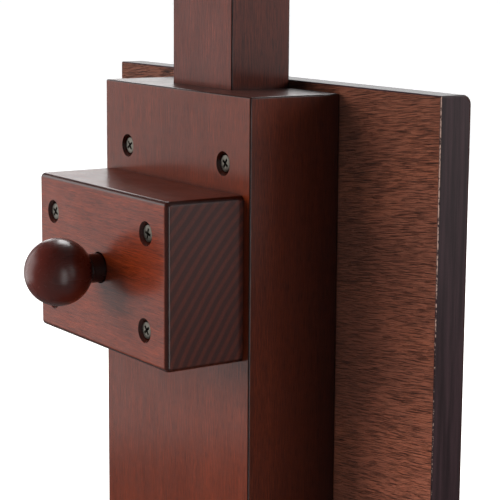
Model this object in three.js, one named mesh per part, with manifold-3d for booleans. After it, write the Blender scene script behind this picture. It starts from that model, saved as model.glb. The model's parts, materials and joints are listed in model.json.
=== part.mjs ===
// Embroidery hoop on a floor stand, in millimetres, +Z up, knob side facing -Y.
// A forked post slides in a box column, a spring pin in the lock block holds it at one of seven heights,
// and an arm that tilts in the fork carries a dowel, a saddle and the two rings of the hoop.
import * as THREE from "three";
import { mergeVertices } from "three/addons/utils/BufferGeometryUtils.js";
import Module from "manifold-3d";

const wasm = await Module();
wasm.setup();

// ---- driving dimensions -------------------------------------------------------------------------

const GAP = 0.3; // left between two pieces that touch

const COLUMN_TOP = 560;
const COLUMN = { width: 120, depth: 45, edge: 1.2 };
const FRONT_BOARD = 14; // thickness
const GROOVE = 48.6; // width of the channel for the post

const POST = { width: 48, depth: 30, edge: 0.7, above: 130, below: 345 };
const FORK = { slot: 16, depth: 44, axisDrop: 20 }; // slot in the post's top, and its axis below the top
const STOP = { pitch: 40, count: 7, radius: 4.3, depth: 12.3 };

const PANEL = { width: 250.6, thickness: 15.5, above: 3.5, edge: 1.6, off: -1 }; // off: along X

const BLOCK = { width: 111, height: 69.6, depth: 36.6, topDrop: 40.4, edge: 2.2 };
const KNOB = { radius: 14.4, reach: 19.2, stem: 6.2, stemEnd: 8 }; // reach: ball centre to block face
const PIN = { radius: 4, collar: 7.6, collarThick: 3, tip: 26 };
const CHAMBER = { radius: 8.2, wall: 6.6 }; // spring chamber, and the wood left in front of it
const SPRING = { radius: 7.3, wire: 1.2, turns: 5 };
const BUSH = { radius: 6, flange: 9, flangeThick: 1.5, bore: 4.3 };

const BASE = { width: 300, front: -62, back: 96, thickness: 20, edge: 3 };
const FOOT = {
  width: 42, front: -238, back: 188.7, height: 38, inset: 21,
  edge: 5, rim: 2.5, // radius of its ends' corners, and of its long edges
  tip: 17, tipRise: 2, // height of its ends, and how much higher the slope starts
};
// Its top past the base board: how far it stays flat, where it bends, and where the slope is straight.
const SLOPE = { flat: 10, bend: 25, back: 38.5, backDrop: 3, front: 49.5, frontDrop: 4 };
const PAD = { radius: 15, height: 4, inset: 26 };
const PLUG_HEIGHT = 60;

const ARM = { width: 15.4, height: 28, reach: 108, edge: 1.5, end: 34, endEdge: 3, endWall: 6 };
const SLIT = { width: 2, depth: 32 };
const DOWEL = { radius: 6, inArm: 48, inSaddle: 14 };
const TILT_BOLT = { radius: 3, head: 8, headHigh: 2.6 };
const CLAMP_BOLT = { radius: 2.5, head: 6, headHigh: 2.2, above: 10.8, behind: 14 };
const WASHER_THICK = 1.5;
const TILT_WASHER = { hole: 3.4, radius: 9 };
const CLAMP_WASHER = { hole: 2.9, radius: 6 };
const TILT_KNOB = { radius: 19, height: 16, lobes: 6, boss: 9 };
const CLAMP_KNOB = { radius: 13, height: 12, lobes: 6, boss: 7 };
const KNOB_WALL = 4; // wood left over the blind hole of a hand knob

const HOOP = { inner: 118, ring: 4, outerRing: 4.5, height: 13, split: 7 };
const SADDLE = { width: 54, depth: 20, height: 22, edge: 1.5, clear: 1.5 }; // clear of the arm's end
const SADDLE_SCREW = { head: 2.6, shank: 1.2, length: 15, angle: 5.2 };
const LUG = { width: 8, reach: 13, height: 10, fromSplit: 5, edge: 0.8, screwIn: 4.4 };
const TENSION = { radius: 2, knob: 6, knobLong: 9 };
const NUT = { radius: 4, height: 3.2 };
const RIVET = { radius: 1.3, inLug: 3.5 };

// Countersunk cross-head wood screws: head and shank radius, how deep the head is sunk below the
// wood's face, and the radius of the countersink's mouth there.
const WOOD_SCREW = { head: 3.5, shank: 1.75, sunk: 1.1, mouth: 5.3 };
const CROSS_SLOT = { long: 4.2, deep: 1.7, wide: 0.9 };
// Where they sit, from the column's middle, top or bottom or from an edge of the base board.
const COLUMN_SCREW = { x: 39.8, fromTop: 28.8, fromBottom: 34, length: 34 };
const BLOCK_SCREW = { upperX: 40.6, lowerX: 40.2, length: 46 };
const BLOCK_SCREW_OFF = { upper: -1.5, lower: -2.2 }; // drilled by hand, a little off the middle
const BLOCK_SCREW_DROP = { upperLeft: 56.6, upperRight: 55.2, lower: 95.4 };
const PANEL_SCREW = { fromEnd: 40, length: 32 };
const BASE_SCREW = { front: 22, back: 18, length: 40 };
const UPRIGHT_SCREW = { columnY: 28, panelX: 90, length: 44 };

// Sides of the round pieces, by how large they are.
const SCREW_SIDES = 12;
const ROUND_SIDES = 16;
const KNOB_SIDES = 24;
const RING_SIDES = 64;

// ---- materials ----------------------------------------------------------------------------------

const material = (color, roughness, metalness = 0) =>
  new THREE.MeshStandardMaterial({ color, roughness, metalness });
const stainedWood = material(0x5a2a1e, 0.38);
const knobWood = material(0x4a1711, 0.22);
const veneer = material(0x6a3b2c, 0.6);
const zincSteel = material(0xb9b7b2, 0.35, 0.9);
const bushBrass = material(0xb08d4a, 0.3, 0.9);
const feltPad = material(0x2b2622, 0.95);

// ---- solids: a closed three.js geometry as a manifold-3d solid, and back --------------------------

function solid(geometry) {
  const bare = geometry.index ? geometry.toNonIndexed() : geometry.clone();
  bare.deleteAttribute("normal");
  bare.deleteAttribute("uv");
  const merged = mergeVertices(bare, 1e-4);
  return new wasm.Manifold(
    new wasm.Mesh({
      numProp: 3,
      vertProperties: new Float32Array(merged.attributes.position.array),
      triVerts: new Uint32Array(merged.index.array),
    }),
  );
}

function geometryOf(made) {
  const mesh = made.getMesh();
  const geometry = new THREE.BufferGeometry();
  const position = new THREE.BufferAttribute(new Float32Array(mesh.vertProperties), 3);
  geometry.setAttribute("position", position);
  geometry.setIndex(new THREE.BufferAttribute(new Uint32Array(mesh.triVerts), 1));
  return geometry;
}

// A solid minus each of the others, and a solid joined with each of the others.
const cut = (from, ...tools) => tools.reduce((s, t) => s.subtract(solid(t)), from);
const join = (first, ...more) => more.reduce((s, t) => s.add(solid(t)), first);

// ---- basic shapes -------------------------------------------------------------------------------

// A rectangle with round corners, centred on its origin.
function roundedRectangle(width, height, radius) {
  const x = width / 2;
  const y = height / 2;
  const shape = new THREE.Shape();
  shape.moveTo(-x + radius, -y);
  shape.lineTo(x - radius, -y);
  shape.absarc(x - radius, -y + radius, radius, -Math.PI / 2, 0);
  shape.lineTo(x, y - radius);
  shape.absarc(x - radius, y - radius, radius, 0, Math.PI / 2);
  shape.lineTo(-x + radius, y);
  shape.absarc(-x + radius, y - radius, radius, Math.PI / 2, Math.PI);
  shape.lineTo(-x, -y + radius);
  shape.absarc(-x + radius, -y + radius, radius, Math.PI, 1.5 * Math.PI);
  return shape;
}

// A board between two corners, with every edge rounded by the given radius.
function board(low, high, edge, steps = 2) {
  const [w, d, h] = high.map((v, i) => v - low[i]);
  const outline = roundedRectangle(w - 2 * edge, d - 2 * edge, 0.01);
  const geometry = new THREE.ExtrudeGeometry(outline, {
    depth: h - 2 * edge,
    curveSegments: 1,
    bevelEnabled: true,
    bevelThickness: edge,
    bevelSize: edge,
    bevelSegments: steps,
  });
  geometry.translate(low[0] + w / 2, low[1] + d / 2, low[2] + edge);
  return geometry;
}

// A plain block between two corners.
function block(low, high) {
  const [w, d, h] = high.map((v, i) => v - low[i]);
  const geometry = new THREE.BoxGeometry(w, d, h);
  return geometry.translate(low[0] + w / 2, low[1] + d / 2, low[2] + h / 2);
}

// A round bar from one point to another.
function bar(from, to, radius, sides = ROUND_SIDES) {
  const start = new THREE.Vector3(...from);
  const along = new THREE.Vector3(...to).sub(start);
  const geometry = new THREE.CylinderGeometry(radius, radius, along.length(), sides);
  const up = new THREE.Vector3(0, 1, 0);
  const turn = new THREE.Quaternion().setFromUnitVectors(up, along.clone().normalize());
  geometry.applyQuaternion(turn);
  return geometry.translate(...start.addScaledVector(along, 0.5).toArray());
}

// A turned piece: [radius, height] points around an axis that starts at `foot` and runs along `way`.
function turned(points, foot, way, sides = ROUND_SIDES) {
  const profile = points.map(([r, h]) => new THREE.Vector2(r, h));
  const geometry = new THREE.LatheGeometry(profile, sides);
  const up = new THREE.Vector3(0, 1, 0);
  const axis = new THREE.Vector3(...way).normalize();
  geometry.applyQuaternion(new THREE.Quaternion().setFromUnitVectors(up, axis));
  return geometry.translate(...foot);
}

// Points of a quarter, half or other arc in a turned profile, from one angle to another in degrees.
function arc(centreHeight, radius, from, to, steps) {
  return Array.from({ length: steps + 1 }, (_, i) => {
    const angle = THREE.MathUtils.degToRad(from + ((to - from) * i) / steps);
    return [Math.abs(radius * Math.cos(angle)), centreHeight + radius * Math.sin(angle)];
  });
}

// An outline drawn as (y, z), pushed along X from x0 to x1 with both of its rims rounded by `rim`.
function pushed(outline, x0, x1, rim, curveSegments) {
  const geometry = new THREE.ExtrudeGeometry(outline, {
    depth: x1 - x0 - 2 * rim,
    curveSegments,
    bevelEnabled: rim > 0,
    bevelThickness: rim,
    bevelSize: rim,
    bevelOffset: -rim,
    bevelSegments: 2,
  });
  // three.js pushes along Z: turn X to Y, Y to Z and Z to X.
  const [x, y, z] = [[1, 0, 0], [0, 1, 0], [0, 0, 1]].map((v) => new THREE.Vector3(...v));
  geometry.applyMatrix4(new THREE.Matrix4().makeBasis(y, z, x));
  return geometry.translate(x0 + rim, 0, 0);
}

// ---- fasteners ----------------------------------------------------------------------------------

// A countersunk screw whose head faces along `out`, with its head sunk below the point `mouth`.
function screwGeometry(mouth, out, length) {
  const { head, shank, sunk } = WOOD_SCREW;
  const cone = head - shank;
  const profile = [
    [0, -sunk - length],
    [0.4, -sunk - length],
    [shank, -sunk - length + 4],
    [shank, -sunk - cone - 0.4],
    [head, -sunk - 0.4],
    [head, -sunk],
    [0, -sunk],
  ];
  const screw = solid(turned(profile, mouth, out, SCREW_SIDES));
  const axis = new THREE.Vector3(...out).normalize();
  const turn = new THREE.Quaternion().setFromUnitVectors(new THREE.Vector3(0, 1, 0), axis);
  const slots = [0, Math.PI / 2].map((angle) => {
    const slot = new THREE.BoxGeometry(CROSS_SLOT.long, CROSS_SLOT.deep, CROSS_SLOT.wide);
    slot.rotateY(angle).translate(0, -sunk - 0.5, 0).applyQuaternion(turn);
    return slot.translate(...mouth);
  });
  return cut(screw, ...slots);
}

// The hole that such a screw needs: a wide mouth above the head, its cone, and the shank's hole.
function screwHole(mouth, out, length) {
  const { head, shank, sunk, mouth: wide } = WOOD_SCREW;
  const deep = sunk + length + 2;
  const profile = [
    [0, -deep],
    [shank + GAP, -deep],
    [shank + GAP, -sunk - (head - shank) - 1],
    [head + 0.35, -sunk - 0.6],
    [wide, 0],
    [wide, 1],
    [0, 1],
  ];
  return turned(profile, mouth, out, SCREW_SIDES);
}

const columnHalf = COLUMN.width / 2;
const stileMiddle = (GROOVE / 2 + columnHalf) / 2;
const blockTop = COLUMN_TOP - BLOCK.topDrop;
const blockMiddle = blockTop - BLOCK.height / 2;
const floorOfColumn = PAD.height + FOOT.height + BASE.thickness + 2 * GAP;
const panelFront = COLUMN.depth + GAP;
const panelBack = panelFront + PANEL.thickness;
const footX = BASE.width / 2 - FOOT.inset;

// Every screw of the stand: name, the point of the mouth on the surface, the way it faces, its length.
const FACES = { front: [0, -1, 0], back: [0, 1, 0], up: [0, 0, 1], down: [0, 0, -1] };
const row = (name, place, way, length) => ({ name, place, out: FACES[way], length });

function columnScrews(side, x) {
  const { fromTop, fromBottom, length } = COLUMN_SCREW;
  const at = (z) => [x * COLUMN_SCREW.x, 0, z];
  return [
    row(`top_screw_${side}`, at(COLUMN_TOP - fromTop), "front", length),
    row(`bottom_screw_${side}`, at(floorOfColumn + fromBottom), "front", length),
  ];
}

function blockScrews(side, x) {
  const { upperX, lowerX, length } = BLOCK_SCREW;
  const { upper, lower } = BLOCK_SCREW_OFF;
  const drop = x < 0 ? BLOCK_SCREW_DROP.upperLeft : BLOCK_SCREW_DROP.upperRight;
  const at = (across, down) => [across, -BLOCK.depth, COLUMN_TOP - down];
  return [
    row(`block_screw_upper_${side}`, at(x * upperX + upper, drop), "front", length),
    row(`block_screw_lower_${side}`, at(x * lowerX + lower, BLOCK_SCREW_DROP.lower), "front", length),
  ];
}

// From the back through the panel into the stiles.
function panelScrews(side, x) {
  const { fromEnd, length } = PANEL_SCREW;
  const heights = {
    top: COLUMN_TOP - fromEnd,
    middle: (COLUMN_TOP + floorOfColumn) / 2,
    bottom: floorOfColumn + fromEnd,
  };
  return Object.entries(heights).map(([level, z]) =>
    row(`panel_screw_${level}_${side}`, [x * stileMiddle, panelBack, z], "back", length),
  );
}

// Down through the base board into the feet, and up through it into the stiles and the panel.
function baseScrews(side, x) {
  const top = floorOfColumn - GAP;
  const under = top - BASE.thickness;
  const { columnY, panelX, length } = UPRIGHT_SCREW;
  const ends = { front: BASE.front + BASE_SCREW.front, back: BASE.back - BASE_SCREW.back };
  return [
    ...Object.entries(ends).map(([end, y]) =>
      row(`foot_screw_${end}_${side}`, [x * footX, y, top], "up", BASE_SCREW.length),
    ),
    row(`column_screw_${side}`, [x * stileMiddle, columnY, under], "down", length),
    row(`panel_foot_screw_${side}`, [x * panelX, (panelFront + panelBack) / 2, under], "down", length),
  ];
}

const screws = [["left", -1], ["right", 1]].flatMap(([side, x]) =>
  [columnScrews, blockScrews, panelScrews, baseScrews].flatMap((rows) => rows(side, x)),
);

// The holes of the named screws, each in its own place, for the pieces that they pass through.
const holesFor = (...starts) =>
  screws
    .filter((s) => starts.some((start) => s.name.startsWith(start)))
    .map((s) => screwHole(s.place, s.out, s.length));

// ---- column, panel and post ---------------------------------------------------------------------

function columnFront() {
  const low = [-columnHalf, 0, floorOfColumn];
  const high = [columnHalf, FRONT_BOARD, COLUMN_TOP];
  const z = blockMiddle;
  return cut(
    solid(board(low, high, COLUMN.edge)),
    bar([0, -1, z], [0, FRONT_BOARD + 1, z], BUSH.radius + GAP),
    bar([0, -1, z], [0, BUSH.flangeThick + GAP, z], BUSH.flange + GAP),
    ...holesFor("top_screw", "bottom_screw", "block_screw"),
  );
}

function stile(side) {
  const inner = GROOVE / 2;
  const [x0, x1] = side < 0 ? [-columnHalf, -inner] : [inner, columnHalf];
  const low = [x0, FRONT_BOARD + GAP, floorOfColumn];
  const high = [x1, COLUMN.depth, COLUMN_TOP];
  const names = ["top_screw", "bottom_screw", "panel_screw", "column_screw"];
  return cut(solid(board(low, high, COLUMN.edge)), ...holesFor(...names));
}

function columnPlug() {
  const x = GROOVE / 2 - GAP;
  const low = [-x, FRONT_BOARD + GAP, floorOfColumn];
  return solid(board(low, [x, COLUMN.depth, floorOfColumn + PLUG_HEIGHT], 0.8));
}

function backPanel() {
  const half = PANEL.width / 2;
  const low = [PANEL.off - half, panelFront, floorOfColumn];
  const high = [PANEL.off + half, panelBack, COLUMN_TOP + PANEL.above];
  const holes = holesFor("panel_screw", "panel_foot_screw");
  return cut(solid(board(low, high, PANEL.edge)), ...holes);
}

const postFront = FRONT_BOARD + GAP;
const postMiddle = postFront + POST.depth / 2;
const postTop = COLUMN_TOP + POST.above;
const tiltHeight = postTop - FORK.axisDrop;

function post() {
  const x = POST.width / 2;
  const low = [-x, postFront, COLUMN_TOP - POST.below];
  const body = solid(board(low, [x, postFront + POST.depth, postTop], POST.edge));
  const slotHalf = FORK.slot / 2;
  const slot = block(
    [-slotHalf, postFront - 1, postTop - FORK.depth],
    [slotHalf, postFront + POST.depth + 1, postTop + 1],
  );
  const boltHole = bar([-x - 1, postMiddle, tiltHeight], [x + 1, postMiddle, tiltHeight],
    TILT_BOLT.radius + GAP);
  const stops = Array.from({ length: STOP.count }, (_, i) => {
    const z = blockMiddle - i * STOP.pitch;
    return bar([0, postFront - 1, z], [0, postFront + STOP.depth, z], STOP.radius);
  });
  return cut(body, slot, boltHole, ...stops, ...forkCorners(x));
}

// What is taken off the fork's two top corners to round them over, as seen from the side.
function forkCorners(x) {
  const radius = POST.depth / 2;
  const shape = new THREE.Shape();
  shape.moveTo(radius + 1, 0);
  shape.lineTo(radius + 1, radius + 1);
  shape.lineTo(-radius - 1, radius + 1);
  shape.lineTo(-radius - 1, 0);
  shape.lineTo(-radius, 0);
  shape.absarc(0, 0, radius, Math.PI, 0, true);
  return [pushed(shape, -x - 1, x + 1, 0, 12).translate(0, postMiddle, postTop - radius)];
}

// ---- lock block and its pin ---------------------------------------------------------------------

function lockBlock() {
  const half = BLOCK.width / 2;
  const low = [-half, -BLOCK.depth, blockTop - BLOCK.height];
  const z = blockMiddle;
  return cut(
    solid(board(low, [half, -GAP, blockTop], BLOCK.edge, 3)),
    bar([0, -BLOCK.depth - 1, z], [0, 1, z], KNOB.stem + GAP, KNOB_SIDES),
    bar([0, -BLOCK.depth + CHAMBER.wall, z], [0, 1, z], CHAMBER.radius),
    ...holesFor("block_screw"),
  );
}

// Ball, stem and the blind hole for the pin's threaded end, turned about the knob's axis.
function ballKnob() {
  const centre = BLOCK.depth + KNOB.reach;
  const meet = THREE.MathUtils.radToDeg(Math.acos(KNOB.stem / KNOB.radius));
  const profile = [
    [0, KNOB.stemEnd + 12],
    [2.8, KNOB.stemEnd + 12],
    [2.8, KNOB.stemEnd],
    [KNOB.stem, KNOB.stemEnd],
    ...arc(centre, KNOB.radius, -meet, 90, 11),
  ];
  return solid(turned(profile, [0, 0, blockMiddle], [0, -1, 0], KNOB_SIDES));
}

function lockPin() {
  const collarFront = KNOB.stemEnd - GAP;
  const profile = [
    [0, -PIN.tip],
    [PIN.radius - 1.2, -PIN.tip],
    [PIN.radius, -PIN.tip + 1.2],
    [PIN.radius, collarFront - PIN.collarThick],
    [PIN.collar, collarFront - PIN.collarThick],
    [PIN.collar, collarFront],
    [2.5, collarFront],
    [2.5, collarFront + 10],
    [0, collarFront + 10],
  ];
  return solid(turned(profile, [0, 0, blockMiddle], [0, -1, 0]));
}

// The compression spring between the chamber's front wall and the pin's collar.
function plungerSpring() {
  const start = KNOB.stemEnd + SPRING.wire / 2;
  const end = BLOCK.depth - CHAMBER.wall - SPRING.wire / 2 - GAP;
  class Helix extends THREE.Curve {
    getPoint(t) {
      const angle = 2 * Math.PI * SPRING.turns * t;
      const y = -start - (end - start) * t;
      const [x, z] = [Math.cos(angle), Math.sin(angle)].map((v) => v * SPRING.radius);
      return new THREE.Vector3(x, y, blockMiddle + z);
    }
  }
  const wire = new THREE.Shape().absarc(0, 0, SPRING.wire / 2, 0, 2 * Math.PI);
  return solid(
    new THREE.ExtrudeGeometry(wire, {
      steps: SPRING.turns * 12,
      curveSegments: 2,
      extrudePath: new Helix(),
      bevelEnabled: false,
    }),
  );
}

function pinBush() {
  const profile = [
    [BUSH.bore, -FRONT_BOARD + GAP],
    [BUSH.radius, -FRONT_BOARD + GAP],
    [BUSH.radius, -BUSH.flangeThick],
    [BUSH.flange, -BUSH.flangeThick],
    [BUSH.flange, 0],
    [BUSH.bore, 0],
    [BUSH.bore, -FRONT_BOARD + GAP],
  ];
  return solid(turned(profile, [0, 0, blockMiddle], [0, -1, 0]));
}

// ---- base ---------------------------------------------------------------------------------------

function baseBoard() {
  const half = BASE.width / 2;
  const top = floorOfColumn - GAP;
  const low = [-half, BASE.front, top - BASE.thickness];
  const holes = holesFor("foot_screw", "column_screw", "panel_foot_screw");
  return cut(solid(board(low, [half, BASE.back, top], BASE.edge)), ...holes);
}

// The side view of a foot: a runner whose top slopes down to both ends.
function footOutline() {
  const bottom = PAD.height + GAP;
  const top = PAD.height + FOOT.height;
  const tip = bottom + FOOT.tip;
  const { front, back, edge: e, tipRise } = FOOT;
  const shape = new THREE.Shape();
  shape.moveTo(front + e, bottom);
  shape.lineTo(back - e, bottom);
  shape.absarc(back - e, bottom + e, e, -Math.PI / 2, 0);
  shape.lineTo(back, tip - e);
  shape.quadraticCurveTo(back, tip, back - 2 * e, tip + tipRise);
  shape.lineTo(BASE.back + SLOPE.back, top - SLOPE.backDrop);
  shape.quadraticCurveTo(BASE.back + SLOPE.bend, top, BASE.back + SLOPE.flat, top);
  shape.lineTo(BASE.front - SLOPE.flat, top);
  shape.quadraticCurveTo(BASE.front - SLOPE.bend, top, BASE.front - SLOPE.front, top - SLOPE.frontDrop);
  shape.lineTo(front + 2 * e, tip + tipRise);
  shape.quadraticCurveTo(front, tip, front, tip - e);
  shape.lineTo(front, bottom + e);
  shape.absarc(front + e, bottom + e, e, Math.PI, 1.5 * Math.PI);
  return shape;
}

function foot(side) {
  const x = side * footX;
  const body = pushed(footOutline(), x - FOOT.width / 2, x + FOOT.width / 2, FOOT.rim, 4);
  return cut(solid(body), ...holesFor("foot_screw"));
}

const padPlaces = [-1, 1].flatMap((side) =>
  [["front", FOOT.front + PAD.inset], ["back", FOOT.back - PAD.inset]].map(([end, y]) => ({
    name: `foot_pad_${end}_${side < 0 ? "left" : "right"}`,
    place: [side * footX, y, 0],
  })),
);

function footPad(place) {
  const r = PAD.radius;
  const profile = [[0, 0], [r - 0.8, 0], [r, 0.8], [r, PAD.height], [0, PAD.height]];
  return solid(turned(profile, place, [0, 0, 1]));
}

// ---- tilting arm --------------------------------------------------------------------------------

const armFront = postMiddle - ARM.reach;

// The side view of the flat arm, with its round tongue about the tilt bolt.
function armOutline() {
  const r = ARM.height / 2;
  const shape = new THREE.Shape();
  shape.moveTo(postMiddle, tiltHeight - r);
  shape.absarc(postMiddle, tiltHeight, r, -Math.PI / 2, Math.PI / 2);
  shape.lineTo(armFront + 1, tiltHeight + r);
  shape.lineTo(armFront + 1, tiltHeight - r);
  return shape;
}

// Flat arm on the tilt bolt, and at its far end a wider split eye for the dowel.
function tiltArm() {
  const tongue = pushed(armOutline(), -ARM.width / 2, ARM.width / 2, ARM.edge, 12);
  const half = ARM.end / 2;
  const low = [-half, armFront, tiltHeight - half];
  const high = [half, armFront + DOWEL.inArm + ARM.endWall, tiltHeight + half];
  const eye = board(low, high, ARM.endEdge);
  const bore = bar([0, armFront - 1, tiltHeight], [0, armFront + DOWEL.inArm + 2, tiltHeight],
    DOWEL.radius + GAP);
  const slit = block([-SLIT.width / 2, armFront - 1, tiltHeight],
    [SLIT.width / 2, armFront + SLIT.depth, tiltHeight + half + 1]);
  const clamp = clampAxis();
  const clampHole = bar([-half - 1, clamp.y, clamp.z], [half + 1, clamp.y, clamp.z],
    CLAMP_BOLT.radius + GAP);
  const tiltHole = bar([-half, postMiddle, tiltHeight], [half, postMiddle, tiltHeight],
    TILT_BOLT.radius + GAP);
  return cut(join(solid(tongue), eye), bore, slit, clampHole, tiltHole);
}

const clampAxis = () => ({ y: armFront + CLAMP_BOLT.behind, z: tiltHeight + CLAMP_BOLT.above });

// A carriage bolt along X: a dome head on the left, a plain shank, and its end inside the knob.
function carriageBolt(left, right, y, z, size) {
  const dome = arc(0, size.head, 0, 90, 5).map(([r, h]) => [r, h * (size.headHigh / size.head)]);
  const profile = [[0, left - right], [size.radius, left - right], [size.radius, 0], ...dome];
  return solid(turned(profile, [left, y, z], [-1, 0, 0]));
}

const tiltLeft = -POST.width / 2 - GAP;
const tiltKnobFace = POST.width / 2 + GAP + WASHER_THICK + GAP;
const clampLeft = -ARM.end / 2 - GAP;
const clampKnobFace = ARM.end / 2 + GAP + WASHER_THICK + GAP;

// Where the end of a bolt is inside its knob's blind hole.
const boltEnd = (face, knob) => face + knob.height - KNOB_WALL - GAP;

const tiltBolt = () =>
  carriageBolt(tiltLeft, boltEnd(tiltKnobFace, TILT_KNOB), postMiddle, tiltHeight, TILT_BOLT);

function clampBolt() {
  const { y, z } = clampAxis();
  return carriageBolt(clampLeft, boltEnd(clampKnobFace, CLAMP_KNOB), y, z, CLAMP_BOLT);
}

// A flat washer on the X axis between a bolt's wood and its knob.
function washer(x, y, z, { hole, radius }) {
  const profile = [[hole, 0], [radius, 0], [radius, WASHER_THICK], [hole, WASHER_THICK], [hole, 0]];
  return solid(turned(profile, [x, y, z], [1, 0, 0]));
}

// A lobed hand knob on the X axis, with a boss on its inner face and a blind hole for the bolt.
function handKnob(face, y, z, size, bolt) {
  const shape = new THREE.Shape();
  const points = size.lobes * 6;
  const wave = size.radius * 0.09;
  const outline = Array.from({ length: points }, (_, i) => {
    const angle = (2 * Math.PI * i) / points;
    const r = size.radius - wave - 1.5 + wave * Math.cos(size.lobes * angle);
    return new THREE.Vector2(r * Math.cos(angle), r * Math.sin(angle));
  });
  shape.setFromPoints(outline);
  const bossHigh = 3;
  const bevel = 1.5;
  const head = new THREE.ExtrudeGeometry(shape, {
    depth: size.height - bossHigh - 2 * bevel,
    bevelEnabled: true,
    bevelThickness: bevel,
    bevelSize: bevel,
    bevelSegments: 1,
  });
  head.rotateY(Math.PI / 2).translate(face + bossHigh + bevel, y, z);
  const boss = bar([face, y, z], [face + bossHigh + 2, y, z], size.boss);
  const hole = bar([face - 1, y, z], [face + size.height - KNOB_WALL, y, z], bolt.radius + GAP);
  return cut(join(solid(head), boss), hole);
}

// ---- hoop ---------------------------------------------------------------------------------------

const outerOf = HOOP.inner + HOOP.ring + GAP + HOOP.outerRing; // outer radius of the outer ring
const saddleBack = armFront - GAP - SADDLE.clear;
const hoopCentre = saddleBack - SADDLE.depth - outerOf; // along Y

// A ring of rectangular section with its outer edges taken off, lying flat about the hoop's centre.
function ringGeometry(inner, outer, height) {
  const e = 1;
  const [z0, z1] = [-height / 2, height / 2];
  const profile = [
    [inner, z0], [outer - e, z0], [outer, z0 + e], [outer, z1 - e], [outer - e, z1], [inner, z1], [inner, z0],
  ];
  return turned(profile, [0, hoopCentre, tiltHeight], [0, 0, 1], RING_SIDES);
}

const innerRing = () => solid(ringGeometry(HOOP.inner, HOOP.inner + HOOP.ring, HOOP.height));

const lugs = [-1, 1].map((side) => {
  const x = side * (HOOP.split / 2 + LUG.fromSplit + LUG.width / 2);
  return { side, x, y: hoopCentre - Math.sqrt(outerOf ** 2 - x ** 2) };
});

// The hole for the rivet that holds a lug: through the ring and part of the way into the lug.
const rivetHole = ({ x, y }) =>
  bar([x, y - RIVET.inLug - GAP, tiltHeight], [x, y + 8, tiltHeight], RIVET.radius + GAP, SCREW_SIDES);

// The disc that the outer ring fills, which is cut out of what sits against its outside.
function roomForRing() {
  const radius = outerOf + GAP;
  const profile = [[0, -HOOP.height], [radius, -HOOP.height], [radius, HOOP.height], [0, HOOP.height]];
  return turned(profile, [0, hoopCentre, tiltHeight], [0, 0, 1], RING_SIDES);
}

function outerRing() {
  const ring = solid(ringGeometry(outerOf - HOOP.outerRing, outerOf, HOOP.height));
  const far = hoopCentre - outerOf;
  const split = block([-HOOP.split / 2, far - 5, tiltHeight - HOOP.height],
    [HOOP.split / 2, far + 10, tiltHeight + HOOP.height]);
  return cut(ring, split, ...lugs.map(rivetHole), ...saddleScrews().map((s) => s.hole));
}

// Block with a hollow front that fits the outer ring; the dowel is glued into its back.
function saddle() {
  const half = SADDLE.width / 2;
  const front = hoopCentre + Math.sqrt(outerOf ** 2 - half ** 2) + GAP;
  const low = [-half, front - 1, tiltHeight - SADDLE.height / 2];
  const high = [half, saddleBack, tiltHeight + SADDLE.height / 2];
  const dowelHole = bar([0, saddleBack + 1, tiltHeight], [0, saddleBack - DOWEL.inSaddle - GAP, tiltHeight],
    DOWEL.radius + GAP);
  return cut(solid(board(low, high, SADDLE.edge)), roomForRing(), dowelHole,
    ...saddleScrews().map((s) => s.hole));
}

// Two small screws from inside the outer ring into the saddle, and the holes that they need.
function saddleScrews() {
  return [-1, 1].map((side) => {
    const { head, shank, length, angle: degrees } = SADDLE_SCREW;
    const angle = side * THREE.MathUtils.degToRad(degrees);
    const out = [-Math.sin(angle), -Math.cos(angle), 0];
    const r = outerOf - HOOP.outerRing;
    const place = [-out[0] * r, hoopCentre - out[1] * r, tiltHeight];
    const body = [
      [0, -length], [0.3, -length], [shank, 3 - length],
      [shank, -GAP - head + shank], [head, -GAP], [0, -GAP],
    ];
    const room = [
      [0, -length - 1], [shank + GAP, -length - 1], [shank + GAP, -0.6 - head + shank],
      [head + GAP, -0.4], [head + GAP, 1], [0, 1],
    ];
    return {
      name: `saddle_screw_${side < 0 ? "left" : "right"}`,
      solid: solid(turned(body, place, out, SCREW_SIDES)),
      hole: turned(room, place, out, SCREW_SIDES),
    };
  });
}

function swivelDowel() {
  const back = armFront + DOWEL.inArm;
  const front = saddleBack - DOWEL.inSaddle;
  const r = DOWEL.radius;
  const long = back - front;
  const profile = [[0, 0], [r - 0.8, 0], [r, 0.8], [r, long - 0.8], [r - 0.8, long], [0, long]];
  return solid(turned(profile, [0, front, tiltHeight], [0, 1, 0]));
}

// A folded steel lug on the outer ring, with the tension screw's hole across it.
function lug({ x, y }) {
  const half = LUG.width / 2;
  const body = board([x - half, y - LUG.reach, tiltHeight - LUG.height / 2],
    [x + half, y + 2, tiltHeight + LUG.height / 2], LUG.edge);
  const across = tensionAxis();
  const hole = bar([x - half - 1, across.y, across.z], [x + half + 1, across.y, across.z],
    TENSION.radius + GAP);
  return cut(solid(body), roomForRing(), hole, rivetHole({ x, y }));
}

const tensionAxis = () => ({ y: hoopCentre - outerOf - LUG.reach + LUG.screwIn, z: tiltHeight });

function lugRivet({ x, y }) {
  const { radius, inLug } = RIVET;
  const end = HOOP.outerRing - 0.6;
  const profile = [[0, -inLug], [radius, -inLug], [radius, end], [0, end]];
  return solid(turned(profile, [x, y, tiltHeight], [0, 1, 0], SCREW_SIDES));
}

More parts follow.
